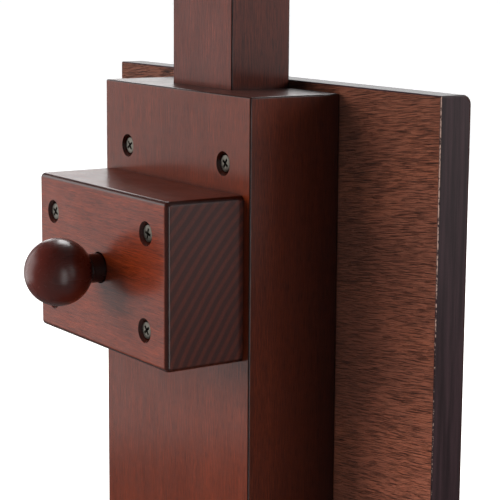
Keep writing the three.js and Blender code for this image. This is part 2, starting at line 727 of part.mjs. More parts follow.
// Thumb screw across both lugs: a knurled head on the right and a plain end past the nut.
function tensionScrew() {
  const { y, z } = tensionAxis();
  const right = lugs[1].x + LUG.width / 2 + GAP;
  const left = lugs[0].x - LUG.width / 2 - 7;
  const r = TENSION.radius;
  const k = TENSION.knob;
  const profile = [
    [0, left - right], [r - 0.5, left - right], [r, left - right + 0.5], [r, 0],
    [k - 2, 0], [k - 2, 1.2], [k, 2], [k, TENSION.knobLong - 0.8],
    [k - 0.8, TENSION.knobLong], [0, TENSION.knobLong],
  ];
  return solid(turned(profile, [right, y, z], [1, 0, 0]));
}

function tensionNut() {
  const { y, z } = tensionAxis();
  const right = lugs[0].x - LUG.width / 2 - GAP;
  const left = right - NUT.height;
  const profile = [[0, 0], [NUT.radius, 0], [NUT.radius, NUT.height], [0, NUT.height]];
  const hole = bar([left - 1, y, z], [right + 1, y, z], TENSION.radius + GAP, 16);
  return cut(solid(turned(profile, [left, y, z], [1, 0, 0], 6)), hole);
}

// ---- the assembly -------------------------------------------------------------------------------

// The origin is on the floor, under the middle of the stand's outer box.
const foremost = tensionAxis().y - TENSION.knob;
const group = new THREE.Group();
group.position.set(0, -(foremost + FOOT.back) / 2, 0);

function add(name, made, look) {
  const mesh = new THREE.Mesh(geometryOf(made), look);
  mesh.name = name;
  group.add(mesh);
}

add("column_front", columnFront(), stainedWood);
add("column_stile_left", stile(-1), stainedWood);
add("column_stile_right", stile(1), stainedWood);
add("column_plug", columnPlug(), stainedWood);
add("back_panel", backPanel(), veneer);
add("post", post(), stainedWood);

add("lock_block", lockBlock(), stainedWood);
add("ball_knob", ballKnob(), knobWood);
add("lock_pin", lockPin(), zincSteel);
add("plunger_spring", plungerSpring(), zincSteel);
add("pin_bush", pinBush(), bushBrass);

add("base_board", baseBoard(), stainedWood);
add("foot_left", foot(-1), stainedWood);
add("foot_right", foot(1), stainedWood);
for (const { name, place } of padPlaces) add(name, footPad(place), feltPad);
for (const { name, place, out, length } of screws)
  add(name, screwGeometry(place, out, length), zincSteel);

add("tilt_arm", tiltArm(), stainedWood);
add("tilt_bolt", tiltBolt(), zincSteel);
add("tilt_washer", washer(POST.width / 2 + GAP, postMiddle, tiltHeight, TILT_WASHER), zincSteel);
add("tilt_knob", handKnob(tiltKnobFace, postMiddle, tiltHeight, TILT_KNOB, TILT_BOLT), knobWood);
const clamp = clampAxis();
add("clamp_bolt", clampBolt(), zincSteel);
add("clamp_washer", washer(ARM.end / 2 + GAP, clamp.y, clamp.z, CLAMP_WASHER), zincSteel);
add("clamp_knob", handKnob(clampKnobFace, clamp.y, clamp.z, CLAMP_KNOB, CLAMP_BOLT), knobWood);

add("swivel_dowel", swivelDowel(), stainedWood);
add("saddle", saddle(), stainedWood);
for (const screw of saddleScrews()) add(screw.name, screw.solid, zincSteel);
add("outer_ring", outerRing(), stainedWood);
add("inner_ring", innerRing(), stainedWood);
for (const place of lugs) {
  const side = place.side < 0 ? "left" : "right";
  add(`tension_lug_${side}`, lug(place), zincSteel);
  add(`lug_rivet_${side}`, lugRivet(place), zincSteel);
}
add("tension_screw", tensionScrew(), zincSteel);
add("tension_nut", tensionNut(), zincSteel);

export default group;
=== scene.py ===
"""Looks of the embroidery hoop stand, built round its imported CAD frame. Lengths in metres.

Each visible piece takes its place and outer size from the CAD node that it stands for, and adds the
rounded edges, countersinks and surface that the plain solids lack.
"""

import json
import math

import bmesh
import bpy
from mathutils import Matrix, Vector


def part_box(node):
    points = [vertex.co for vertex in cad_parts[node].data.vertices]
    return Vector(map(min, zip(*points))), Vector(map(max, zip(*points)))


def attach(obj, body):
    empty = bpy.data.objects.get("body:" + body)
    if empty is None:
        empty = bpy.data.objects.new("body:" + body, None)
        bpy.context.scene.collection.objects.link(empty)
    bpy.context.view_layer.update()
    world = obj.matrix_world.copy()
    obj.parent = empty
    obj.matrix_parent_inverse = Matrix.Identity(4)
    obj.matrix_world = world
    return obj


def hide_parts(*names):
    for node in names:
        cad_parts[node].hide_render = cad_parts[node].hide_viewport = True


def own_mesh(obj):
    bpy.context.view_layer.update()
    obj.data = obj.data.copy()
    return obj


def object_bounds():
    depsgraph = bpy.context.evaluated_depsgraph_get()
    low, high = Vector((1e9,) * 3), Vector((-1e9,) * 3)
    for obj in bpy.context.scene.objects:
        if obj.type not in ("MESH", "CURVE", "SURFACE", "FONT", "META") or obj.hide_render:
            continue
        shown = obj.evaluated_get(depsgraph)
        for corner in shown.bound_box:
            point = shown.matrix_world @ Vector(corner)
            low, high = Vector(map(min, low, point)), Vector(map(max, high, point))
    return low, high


MM = 0.001
NEAR = 1e-6  # points closer than this count as one place
X, Y, Z = (1, 0, 0), (0, 1, 0), (0, 0, 1)

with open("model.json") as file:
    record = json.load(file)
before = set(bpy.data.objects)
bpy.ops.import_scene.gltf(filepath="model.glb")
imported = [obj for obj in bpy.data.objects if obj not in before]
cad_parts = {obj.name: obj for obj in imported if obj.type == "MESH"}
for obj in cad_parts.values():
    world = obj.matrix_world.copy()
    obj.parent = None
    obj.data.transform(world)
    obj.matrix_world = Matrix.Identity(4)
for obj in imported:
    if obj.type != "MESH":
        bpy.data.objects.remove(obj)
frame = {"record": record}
cad_low, cad_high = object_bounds()
record = frame["record"]
body_of = {node: body for body, nodes in record["behaviour"]["bodies"].items() for node in nodes}


# ---- material nodes ------------------------------------------------------------------------------


class Shader:
    """A material's node tree, built from short calls that take sockets or plain values."""

    def __init__(self, name):
        self.material = bpy.data.materials.new(name)
        self.material.use_nodes = True
        self.tree = self.material.node_tree
        self.surface = self.tree.nodes["Principled BSDF"]
        self.place = self.tree.nodes.new("ShaderNodeTexCoord").outputs["Object"]

    def plug(self, socket, value):
        if isinstance(value, bpy.types.NodeSocket):
            self.tree.links.new(value, socket)
        else:
            socket.default_value = value

    def node(self, kind, inputs=None, **settings):
        made = self.tree.nodes.new("ShaderNode" + kind)
        for key, value in settings.items():
            setattr(made, key, value)
        for key, value in (inputs or {}).items():
            self.plug(made.inputs[key], value)
        return made

    def mapping(self, vector, scale=(1, 1, 1), location=(0, 0, 0), rotation=(0, 0, 0)):
        inputs = {"Vector": vector, "Scale": scale, "Location": location, "Rotation": rotation}
        return self.node("Mapping", inputs).outputs["Vector"]

    def noise(self, vector, scale, detail=4, rough=0.55, twist=0.0):
        inputs = {
            "Vector": vector, "Scale": scale, "Detail": detail, "Roughness": rough, "Distortion": twist,
        }
        return self.node("TexNoise", inputs).outputs["Fac"]

    def math(self, operation, a, b=0.0, c=0.0, clamp=False):
        return self.node("Math", {0: a, 1: b, 2: c}, operation=operation, use_clamp=clamp).outputs[0]

    def span(self, value, low, high, to_low=0.0, to_high=1.0):
        """The range low..high of a value spread over to_low..to_high, and held outside it."""
        inputs = {
            "Value": value, "From Min": low, "From Max": high, "To Min": to_low, "To Max": to_high,
        }
        return self.node("MapRange", inputs).outputs["Result"]

    def ramp(self, value, stops):
        made = self.node("ValToRGB", {"Fac": value})
        elements = made.color_ramp.elements
        while len(elements) < len(stops):
            elements.new(0.5)
        for element, (position, colour) in zip(elements, stops):
            element.position = position
            element.color = rgba(colour)
        return made.outputs["Color"]

    def mix(self, amount, a, b, blend="MIX"):
        made = self.node("Mix", data_type="RGBA", blend_type=blend)
        self.plug(made.inputs[0], amount)
        self.plug(made.inputs[6], a)
        self.plug(made.inputs[7], b)
        return made.outputs[2]

    def axis(self, name):
        return self.node("SeparateXYZ", {"Vector": self.place}).outputs[name]

    def bump(self, height, strength, distance):
        inputs = {"Height": height, "Strength": strength, "Distance": distance}
        return self.node("Bump", inputs).outputs["Normal"]

    def own_normal(self):
        """How square the surface is to each axis of the piece, 0 to 1."""
        world_normal = self.node("NewGeometry").outputs["Normal"]
        settings = {"vector_type": "NORMAL", "convert_from": "WORLD", "convert_to": "OBJECT"}
        own = self.node("VectorTransform", {"Vector": world_normal}, **settings).outputs["Vector"]
        parts = self.node("SeparateXYZ", {"Vector": own}).outputs
        return [self.math("ABSOLUTE", parts[axis]) for axis in "XYZ"]

    def facing(self, axis):
        """1 on faces square to an axis of the piece, 0 on faces along it."""
        return self.span(self.own_normal()["XYZ".index(axis)], 0.75, 0.9)

    def rims(self):
        """1 on the rounded edges of a board, 0 on its flat faces."""
        x, y, z = self.own_normal()
        return self.span(self.math("MAXIMUM", x, self.math("MAXIMUM", y, z)), 0.995, 0.93)

    def crevice_shade(self, reach):
        """Mask for painted shade: 1 deep in holes and inner corners, 0 on open faces."""
        made = self.node("AmbientOcclusion", {"Distance": reach}, samples=6)
        return self.span(made.outputs["AO"], 0.72, 0.3)

    def set(self, **values):
        for key, value in values.items():
            self.plug(self.surface.inputs[key.replace("_", " ")], value)
        return self.material


RING_SCALE = 0.1 * math.pi  # a wave texture of this scale repeats once a metre
END_GRAIN_AND_SHEEN = (0.046, 0.0225, 0.021)  # the end grain's own duller colour, greyed by a painted sheen of the lacquer


def rgba(colour):
    return (*colour, 1)


def times(colour, factor):
    """A colour made darker or lighter, as a socket takes it."""
    return rgba([min(1.0, v * factor) for v in colour])


def along(grain, share):
    """A mapping scale that stretches a texture along the grain's axis."""
    return tuple(share if axis == grain else 1.0 for axis in "XYZ")


def grown(s, grain, heart, spacing, stain, ringed_share):
    """The wood's own pattern: streaks and clouds of stain, with growth rings about the heart line."""
    streaks = s.noise(s.mapping(s.place, along(grain, 0.018)), 3300, 5, 0.72)
    clouds = s.noise(s.mapping(s.place, along(grain, 0.3)), 26, 4, 0.6)
    tone = s.math("MULTIPLY_ADD", streaks, 0.8, s.math("MULTIPLY", clouds, 0.2))
    dark, light = stain
    base = s.ramp(tone, [(0.40, dark), (0.60, light)])
    centred = s.mapping(s.place, along(grain, 0.08), tuple(-v for v in heart))
    inputs = {
        "Vector": centred, "Scale": RING_SCALE / spacing, "Distortion": 1.6,
        "Detail": 3, "Detail Scale": 0.5,
    }
    rings = s.node("TexWave", inputs, wave_type="RINGS", rings_direction=grain).outputs["Fac"]
    tint = s.ramp(rings, [(0.3, (0.40, 0.40, 0.5)), (0.85, (1.3, 1.15, 1.0))])
    return s.mix(ringed_share, base, s.mix(1.0, base, tint, "MULTIPLY"))


def shaded_worn_rims(s, edge, base, stain):
    """Painted shade darkens a board's rounded edges, and wear rubs them lighter in a few places."""
    dark, light = stain
    # painted shade on the rounded edges; the light patches below are real wear
    base = s.mix(s.math("MULTIPLY", edge, 0.85), base, times(dark, 0.25))
    patches = s.span(s.noise(s.place, 70, 5, 0.7), 0.68, 0.74, 0.0, 0.6)
    return s.mix(s.math("MULTIPLY", edge, patches), base, times(light, 1.9))


def wood(name, grain, heart, spacing, stain, ring=0.25, end_ring=0.45, coat=0.33, gloss=0.16,
         pores=0.6, painted_shade=None, boards=True):
    """Stained and lacquered solid wood, whose grain runs along the axis `grain`.

    The growth rings are `spacing` apart about a line through `heart`, and `ring` and `end_ring` say how
    plain they are on long faces and end grain. `stain` is the darkest and lightest colour. `coat` and
    `gloss` are the lacquer's share and roughness. `painted_shade` is a pair of places along Y between which
    the colour is painted darker, as painted shade. A piece made of flat `boards` has glossy rounded edges
    with painted shade on them and a few worn spots. Holes and inner corners get painted shade.
    """
    dark = stain[0]
    s = Shader(name)
    end = s.facing(grain)
    base = grown(s, grain, heart, spacing, stain, s.span(end, 0, 1, ring, end_ring))
    long = s.mapping(s.place, along(grain, 0.03))
    fibres = s.noise(long, 5500, 4, 0.7)
    dashes = s.noise(s.mapping(s.place, along(grain, 0.035)), 5200, 2, 0.5)
    base = s.mix(s.span(dashes, 0.55, 0.62, 0.0, pores), base, times(dark, 0.2))
    base = s.mix(s.span(fibres, 0.42, 0.6, 0.0, 0.45), base, times(dark, 0.4))
    # end grain: its duller colour, with a painted sheen
    base = s.mix(s.math("MULTIPLY", end, min(0.5, 1.2 * end_ring)), base, rgba(END_GRAIN_AND_SHEEN))
    if painted_shade:
        # painted shade: the colour darkens along Y between the two places, where less light falls
        base = s.mix(s.span(s.axis("Y"), *painted_shade, 0.0, 0.8), base, times(dark, 0.1))
    if boards:
        edge = s.rims()
        base = shaded_worn_rims(s, edge, base, stain)
        coat = s.span(edge, 0, 1, coat, 1.0)
    # painted shade in holes, joints and inner corners
    base = s.mix(s.math("MULTIPLY", s.crevice_shade(5 * MM), 0.9), base, times(dark, 0.15))
    relief = s.math("SUBTRACT", fibres, s.math("MULTIPLY", dashes, 0.5))
    return s.set(
        Base_Color=base,
        Roughness=s.span(s.noise(s.place, 45, 5, 0.6), 0.3, 0.7, 0.4, 0.52),
        Specular_IOR_Level=0.08,
        Normal=s.bump(relief, 0.18, 0.4 * MM),
        Coat_Weight=coat,
        Coat_Roughness=s.span(s.noise(long, 160, 4, 0.6), 0.3, 0.7, gloss * 0.85, gloss * 1.25),
        Coat_IOR=1.5,
        Coat_Normal=s.bump(fibres, 0.08, 0.3 * MM),
    )


PANEL_ROUND = 4 * MM  # radius of the panel's top edge at the back
VENEER = [(0.36, (0.175, 0.0500, 0.0280)), (0.52, (0.235, 0.0670, 0.0370)), (0.68, (0.31, 0.085, 0.040))]
LACQUER = [(0.4, (0.014, 0.0068, 0.0082)), (0.62, (0.029, 0.0138, 0.0165))]
BARE_WOOD = (0.40, 0.26, 0.21)


def veneer(name, low, high):
    """Open-pored veneer with its grain along X, dark lacquered edges and a worn front corner.

    `low` and `high` are the corners of the panel's box.
    """
    s = Shader(name)
    x, y, z = (s.axis(a) for a in "XYZ")
    aside = s.math("ABSOLUTE", s.math("SUBTRACT", x, (low.x + high.x) / 2))
    half = (high.x - low.x) / 2
    side = s.math("GREATER_THAN", aside, half - 0.6 * MM)
    smooth = s.math("MAXIMUM", side, s.math("GREATER_THAN", z, high.z - 0.6 * MM))
    bend = high.y + high.z - PANEL_ROUND  # the back top edge is where y + z is more
    rounded = s.span(s.math("ADD", y, z), bend - 0.05 * PANEL_ROUND, bend)
    behind = s.math("MAXIMUM", s.span(y, high.y - 1.2 * MM, high.y - 0.8 * MM), rounded)

    bent = s.mapping(s.place, rotation=(0, 0.12, 0))
    weave = s.noise(s.mapping(bent, (0.06, 1, 1)), 5500, 4, 0.7)
    crowd = s.noise(s.mapping(s.place, (0.5, 1, 1)), 38, 3, 0.6)
    pores = s.noise(s.mapping(bent, (0.015, 1, 1)), 7500, 1, 0.5)
    deep = s.span(s.math("MULTIPLY_ADD", crowd, 0.12, pores), 0.635, 0.68)
    base = veneer_colour(s, bent, z, high.z, weave)
    base = s.mix(s.math("MULTIPLY", deep, 0.9), base, rgba((0.010, 0.004, 0.003)))

    strands = s.noise(s.mapping(s.place, (1, 1, 0.04)), 420, 5, 0.7)
    lacquer = s.ramp(strands, LACQUER)
    base = s.mix(smooth, base, lacquer)
    base = s.mix(behind, base, s.mix(1.0, lacquer, rgba((1.2, 0.8, 0.5)), "MULTIPLY"))
    corner = s.math(
        "MULTIPLY",
        s.span(aside, half - 0.5 * MM, half - 0.3 * MM),
        s.span(y, low.y + 0.5 * MM, low.y + 0.3 * MM),
    )
    fewer = s.span(z, high.z - 110 * MM, high.z - 60 * MM, 0.14, 0.0)
    spots = s.noise(s.mapping(s.place, (1, 1, 0.7)), 1100, 3, 0.7)
    chips = s.span(s.math("SUBTRACT", spots, fewer), 0.40, 0.52)
    base = s.mix(s.math("MULTIPLY", corner, chips), base, rgba(BARE_WOOD))

    relief = s.math("SUBTRACT", weave, s.math("MULTIPLY", deep, 1.2))
    depth = s.math("SUBTRACT", 0.9, s.math("MULTIPLY", smooth, 0.82))
    return s.set(
        Base_Color=base,
        Roughness=s.math("SUBTRACT", 0.62, s.math("MULTIPLY", smooth, 0.27)),
        Normal=s.bump(relief, depth, 0.5 * MM),
        Specular_IOR_Level=s.span(s.math("MAXIMUM", smooth, behind), 0, 1, 0.22, 0.06),
        Coat_Weight=s.math("MULTIPLY", s.math("SUBTRACT", side, behind, clamp=True), 0.22),
        Coat_Roughness=0.3,
    )


def veneer_colour(s, bent, z, top, weave):
    """The veneer's clouds and fibres, darker toward the panel's top."""
    clouds = s.noise(s.mapping(s.place, (0.6, 1, 1), rotation=(0, 0.4, 0)), 16, 4, 0.6)
    fibres = s.noise(s.mapping(bent, (0.04, 1, 1)), 3000, 4, 0.7)
    base = s.ramp(clouds, VENEER)
    base = s.mix(s.span(z, top - 200 * MM, top, 0.0, 0.66), base, rgba((0.030, 0.0105, 0.007)))
    base = s.mix(s.span(weave, 0.42, 0.60, 0.0, 0.36), base, rgba((0.045, 0.017, 0.011)))
    return s.mix(s.span(fibres, 0.38, 0.62, 0.35, 0.0), base, rgba((0.17, 0.070, 0.042)))


def steel(name, colour, rough):
    """Plated metal with fine scratches and a faint tarnish."""
    s = Shader(name)
    scratches = s.noise(s.mapping(s.place, (1, 1, 0.08)), 2600, 4, 0.6)
    stains = s.noise(s.place, 420, 4, 0.6)
    return s.set(
        Base_Color=s.mix(s.span(stains, 0.45, 0.75, 0.0, 0.5), rgba(colour), times(colour, 0.45)),
        Metallic=1.0,
        Roughness=s.span(scratches, 0.3, 0.7, rough * 0.7, rough * 1.4),
        Normal=s.bump(scratches, 0.15, 0.1 * MM),
    )


def felt(name):
    """Dark felt with tangled fibres."""
    s = Shader(name)
    fibres = s.noise(s.place, 2400, 6, 0.7, 1.5)
    base = s.ramp(fibres, [(0.3, (0.012, 0.010, 0.009)), (0.7, (0.045, 0.038, 0.032))])
    return s.set(Base_Color=base, Roughness=0.95, Sheen_Weight=0.4, Normal=s.bump(fibres, 0.8, 0.5 * MM))


def floor_material():
    """Matt white that glows enough to lose the floor's far edge."""
    s = Shader("floor_white")
    white = rgba((0.93, 0.93, 0.93))
    return s.set(
        Base_Color=white, Roughness=0.9, Specular_IOR_Level=0.1,
        Emission_Color=white, Emission_Strength=0.42,
    )


# ---- mesh code -----------------------------------------------------------------------------------


def sharp_box(low, high):
    bm = bmesh.new()
    size = Vector(high) - Vector(low)
    middle = (Vector(high) + Vector(low)) / 2
    bmesh.ops.create_cube(bm, size=1.0, matrix=Matrix.Translation(middle) @ Matrix.Diagonal((*size, 1)))
    return bm


def rounded_off(bm, edges, radius, steps):
    bmesh.ops.bevel(bm, geom=edges, offset=radius, segments=steps, profile=0.5, affect="EDGES")
    return bm


def box_mesh(low, high, radius, steps=5, keep=None):
    """A box whose edges are rounded, apart from those for which `keep` of their two ends is true."""
    bm = sharp_box(low, high)
    edges = [e for e in bm.edges if keep is None or not keep(*(v.co for v in e.verts))]
    return rounded_off(bm, edges, radius, steps)


def turned_mesh(profile, foot, way, sides=48, closed=False):
    """Points (radius, height) turned round an axis that starts at `foot` and runs along `way`."""
    bm = bmesh.new()
    rows = []
    angles = [2 * math.pi * i / sides for i in range(sides)]
    for r, h in profile:
        if r < NEAR:
            rows.append([bm.verts.new((0, 0, h))])
        else:
            rows.append([bm.verts.new((r * math.cos(a), r * math.sin(a), h)) for a in angles])
    if closed:
        rows.append(rows[0])
    for a, b in zip(rows, rows[1:]):
        for i in range(sides):
            j = (i + 1) % sides
            ring = [a[i % len(a)], a[j % len(a)], b[j % len(b)], b[i % len(b)]]
            corners = list(dict.fromkeys(ring))
            if len(corners) > 2:
                bm.faces.new(corners)
    turn = Vector(Z).rotation_difference(Vector(way)).to_matrix().to_4x4()
    bm.transform(Matrix.Translation(Vector(foot)) @ turn)
    bmesh.ops.recalc_face_normals(bm, faces=bm.faces)
    return bm


def bar_mesh(radius, start, end, foot, way, sides=48):
    """A plain round bar between two distances from `foot` along `way`."""
    return turned_mesh([(0, start), (radius, start), (radius, end), (0, end)], foot, way, sides)


def prism_mesh(outline, x0, x1, radius=0.0, steps=4):
    """An outline of (y, z) points pushed along X from x0 to x1, its two rims rounded."""
    bm = bmesh.new()
    face = bm.faces.new([bm.verts.new((x0, y, z)) for y, z in outline])
    made = bmesh.ops.extrude_face_region(bm, geom=[face])
    moved = [v for v in made["geom"] if isinstance(v, bmesh.types.BMVert)]
    bmesh.ops.translate(bm, verts=moved, vec=(x1 - x0, 0, 0))
    bmesh.ops.recalc_face_normals(bm, faces=bm.faces)
    rims = [e for e in bm.edges if abs(e.verts[0].co.x - e.verts[1].co.x) < NEAR]
    return rounded_off(bm, rims, radius, steps) if radius else bm


def joined(*parts):
    """Several meshes as one."""
    whole = bmesh.new()
    for part in parts:
        mesh = bpy.data.meshes.new("part")
        part.to_mesh(mesh)
        part.free()
        whole.from_mesh(mesh)
        bpy.data.meshes.remove(mesh)
    return whole


def mesh_object(bm, name):
    mesh = bpy.data.meshes.new(name)
    bm.to_mesh(mesh)
    bm.free()
    made = bpy.data.objects.new(name, mesh)
    bpy.context.scene.collection.objects.link(made)
    return made


def combine(bm, other, operation):
    """The boolean of two meshes, as a new one."""
    target = mesh_object(bm, "target")
    tool = mesh_object(other, "tool")
    modifier = target.modifiers.new("boolean", "BOOLEAN")
    modifier.operation = operation
    modifier.object = tool
    modifier.solver = "EXACT"
    bpy.context.view_layer.update()
    graph = bpy.context.evaluated_depsgraph_get()
    mesh = bpy.data.meshes.new_from_object(target.evaluated_get(graph))
    made = bmesh.new()
    made.from_mesh(mesh)
    bpy.data.meshes.remove(mesh)
    for used in (target, tool):
        data = used.data
        bpy.data.objects.remove(used)
        bpy.data.meshes.remove(data)
    return made


def carve(bm, *tools):
    """A mesh without what the tools take away. The tools of one call stay clear of each other."""
    return combine(bm, joined(*tools), "DIFFERENCE")


def show(made, node):
    """Makes an object stand for a CAD node and move with its body."""
    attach(made, body_of[node])
    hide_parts(node)


def smoothed(mesh, angle):
    """Shades a mesh smooth, apart from edges sharper than the angle in degrees."""
    mesh.shade_smooth()
    mesh.set_sharp_from_angle(angle=math.radians(angle))


def piece(node, bm, material, angle=38.0):
    """The visible piece for a CAD node."""
    made = mesh_object(bm, node + "_look")
    made.data.materials.append(material)
    smoothed(made.data, angle)
    weighted = made.modifiers.new("weighted", "WEIGHTED_NORMAL")
    weighted.keep_sharp = True
    show(made, node)
    return made


def middle_of(node):
    low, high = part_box(node)
    return (low + high) / 2


def in_mm(*points):
    """Points given in millimetres."""
    return [tuple(v * MM for v in point) for point in points]


def arc_points(cy, cz, r, start, end, steps):
    """Points on an arc about (cy, cz), between two angles in degrees."""
    angles = [math.radians(start + (end - start) * i / steps) for i in range(steps + 1)]
    return [(cy + r * math.cos(a), cz + r * math.sin(a)) for a in angles]


def curve(start, pull, end, steps=10):
    """A quadratic curve between two points, without its first point."""
    points = []
    for i in range(1, steps + 1):
        t = i / steps
        shares = ((1 - t) ** 2, 2 * t * (1 - t), t * t)
        points.append(tuple(sum(k * v for k, v in zip(shares, three)) for three in zip(start, pull, end)))
    return points


# ---- screws --------------------------------------------------------------------------------------

FACES = {  # the way that the heads face, by the start of the node's name
    "top_screw": (0, -1, 0), "bottom_screw": (0, -1, 0), "block_screw": (0, -1, 0),
    "panel_screw": Y, "foot_screw": Z, "column_screw": (0, 0, -1), "panel_foot_screw": (0, 0, -1),
}
HEAD = 3.5 * MM  # radius
SUNK = 1.1 * MM  # from the wood's face down to the head
SHANK = 1.75 * MM
CROSS = {"arm": 2.45 * MM, "half": 0.62 * MM, "taper": 0.45, "deep": 1.6 * MM}
FIRST_TURN, NEXT_TURN = 0.35, 1.9  # radians: where a driver left each head


def nodes_named(*starts):
    """The CAD nodes whose names start so, in order."""
    return [node for node in sorted(body_of) if node.startswith(starts)]


def screw_axis(node):
    """The middle of a screw's head, and the way that it faces."""
    out = Vector(next(way for start, way in FACES.items() if node.startswith(start)))
    low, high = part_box(node)
    reach = abs((high - low).dot(out)) / 2
    return middle_of(node) + out * reach, out


def cross_tool():
    """What the cross recess takes out of a head, narrower at its bottom."""
    arm, half = CROSS["arm"], CROSS["half"]
    quarter = [(arm, -half), (arm, half), (half, half)]
    outline = [quarter_turned(point, turns) for turns in range(4) for point in quarter]
    bm = bmesh.new()
    top = [bm.verts.new((x, y, 0.3 * MM)) for x, y in outline]
    low = [bm.verts.new((x * CROSS["taper"], y * CROSS["taper"], -CROSS["deep"])) for x, y in outline]
    bm.faces.new(top)
    bm.faces.new(list(reversed(low)))
    for i in range(len(outline)):
        j = (i + 1) % len(outline)
        bm.faces.new([top[j], top[i], low[i], low[j]])
    bmesh.ops.recalc_face_normals(bm, faces=bm.faces)
    return bm


def quarter_turned(point, turns):
    """A point (x, y) turned about the origin by a number of quarter turns."""
    x, y = point
    for _ in range(turns):
        x, y = -y, x
    return x, y


def screw_mesh():
    """A wood screw along Z with its head's top at the origin: head, cone and start of the shank."""
    head = [(0, 0.05 * MM), (HEAD * 0.55, 0.03 * MM), (HEAD - 0.25 * MM, 0), (HEAD, -0.12 * MM)]
    cone = [(HEAD, -0.4 * MM), (SHANK, -2.2 * MM)]
    shank = [(SHANK, -6 * MM), (1.2 * MM, -6.2 * MM), (0, -6.2 * MM)]
    return carve(turned_mesh(head + cone + shank, (0, 0, 0), Z, 40), cross_tool())


def sink(node):
    """The countersunk hole over a screw's head."""
    top, out = screw_axis(node)
    hole = in_mm((0, -9), (2.0, -9), (2.0, -4.2))
    cone = [(HEAD + 0.4 * MM, -2.0 * MM), (HEAD + 0.75 * MM, -0.9 * MM)]
    mouth = in_mm((5.0, -0.3), (5.3, 0.3), (0, 0.3))
    return turned_mesh(hole + cone + mouth, top + out * SUNK, out, 48)


def sinks(*starts):
    """The countersunk holes over the screws whose nodes' names start so."""
    return [sink(node) for node in nodes_named(*starts)]


def add_screws(material):
    """All the wood screws, as one mesh shared by objects that are each turned differently."""
    master = mesh_object(screw_mesh(), "screw_master")
    mesh = master.data
    bpy.data.objects.remove(master)
    mesh.materials.append(material)
    smoothed(mesh, 35)
    for index, node in enumerate(nodes_named(*FACES)):
        top, out = screw_axis(node)
        made = bpy.data.objects.new(node + "_look", mesh)
        bpy.context.scene.collection.objects.link(made)
        twist = Matrix.Rotation(FIRST_TURN + NEXT_TURN * index, 4, "Z")
        turn = Vector(Z).rotation_difference(out).to_matrix().to_4x4()
        made.matrix_world = Matrix.Translation(top) @ turn @ twist
        show(made, node)


# ---- column, panel, post -------------------------------------------------------------------------

COLUMN_EDGE = 0.9 * MM
SEAM = 0.15 * MM  # half the gap that CAD leaves between the front board and the stiles
STOP = {"radius": 4.3 * MM, "deep": 12.3 * MM, "pitch": 40 * MM, "count": 7}
FORK = {"half": 8 * MM, "deep": 44 * MM}
CUT_EDGE = 0.01 * MM  # a tool's edges are next to sharp
BOLTS = {  # radii, and how far the dome head stands out
    "tilt": {"shank": 3 * MM, "dome": 2.6 * MM, "hole": 3.3 * MM, "washer": 3.4 * MM, "boss": 9 * MM},
    "clamp": {"shank": 2.5 * MM, "dome": 2.2 * MM, "hole": 2.8 * MM, "washer": 2.9 * MM, "boss": 7 * MM},
}


def add_column(board_wood, stile_wood):
    """Front board and stiles, which meet without a gap, and the plug between the stiles."""
    low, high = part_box("column_front")
    joint = high.y + SEAM

    def at_joint(a, b):
        return abs(a.y - joint) < NEAR and abs(b.y - joint) < NEAR

    board = box_mesh(low, (high.x, joint, high.z), COLUMN_EDGE, keep=at_joint)
    steps = in_mm((0, -1), (9.3, -1), (9.3, 2), (6.3, 2), (6.3, 16), (0, 16))
    hole = turned_mesh(steps, (0, low.y, knob_z), Y)
    piece("column_front", carve(board, hole, *sinks("top_screw", "bottom_screw")), board_wood)
    for node in nodes_named("column_stile"):
        low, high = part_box(node)
        piece(node, box_mesh((low.x, joint, low.z), high, COLUMN_EDGE, keep=at_joint), stile_wood)
    piece("column_plug", box_mesh(*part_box("column_plug"), 0.8 * MM, 3), board_wood)


def add_panel(material):
    """The back panel, with its top edge at the back well rounded and the others nearly sharp."""
    low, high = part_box("back_panel")
    middle = (high + low) / 2
    bm = sharp_box(low, high)
    behind_top = [e for e in bm.edges if all(v.co.y > middle.y and v.co.z > middle.z for v in e.verts)]
    rounded_off(bm, behind_top, PANEL_ROUND, 8)
    corners = [e for e in bm.edges if e.calc_face_angle(0) > math.radians(60)]
    rounded_off(bm, corners, 0.7 * MM, 3)
    piece("back_panel", carve(bm, *sinks("panel_screw")), material)


def add_post(material):
    """The post with its fork, the tilt bolt's hole and the row of stop holes down its front."""
    low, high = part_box("post")
    r = (high.y - low.y) / 2
    outline = [(low.y, low.z), (high.y, low.z)] + arc_points(low.y + r, high.z - r, r, 0, 180, 32)
    body = prism_mesh(outline, low.x, high.x, 0.8 * MM)
    slot_low = (-FORK["half"], low.y - 1 * MM, high.z - FORK["deep"])
    slot_high = (FORK["half"], high.y + 1 * MM, high.z + 1 * MM)
    axis = middle_of("tilt_bolt")
    bolt = bar_mesh(BOLTS["tilt"]["hole"], 0, 60 * MM, (low.x - 5 * MM, axis.y, axis.z), X)
    heights = [knob_z - i * STOP["pitch"] for i in range(STOP["count"])]
    stops = [bar_mesh(STOP["radius"], -1 * MM, STOP["deep"], (0, low.y, z), Y) for z in heights]
    forked = carve(body, box_mesh(slot_low, slot_high, CUT_EDGE, 1))
    piece("post", carve(forked, bolt, *stops), material)


# ---- lock block and knob -------------------------------------------------------------------------

STEM = 6.2 * MM  # radius of the knob's stem
BALL_STEPS = 40
SPRING = {"wire": 0.6 * MM, "turns": 5, "steps": 36, "sides": 10, "keep": 0.41}  # keep: squashed share


def add_block(block_wood, knob_wood, metal, brass):
    """The lock block, and in it the knob, the pin with its collar, the bush and the spring."""
    add_lock_block(block_wood)
    add_ball_knob(knob_wood)
    add_lock_pin(metal)
    add_bush(brass)
    add_spring(metal)


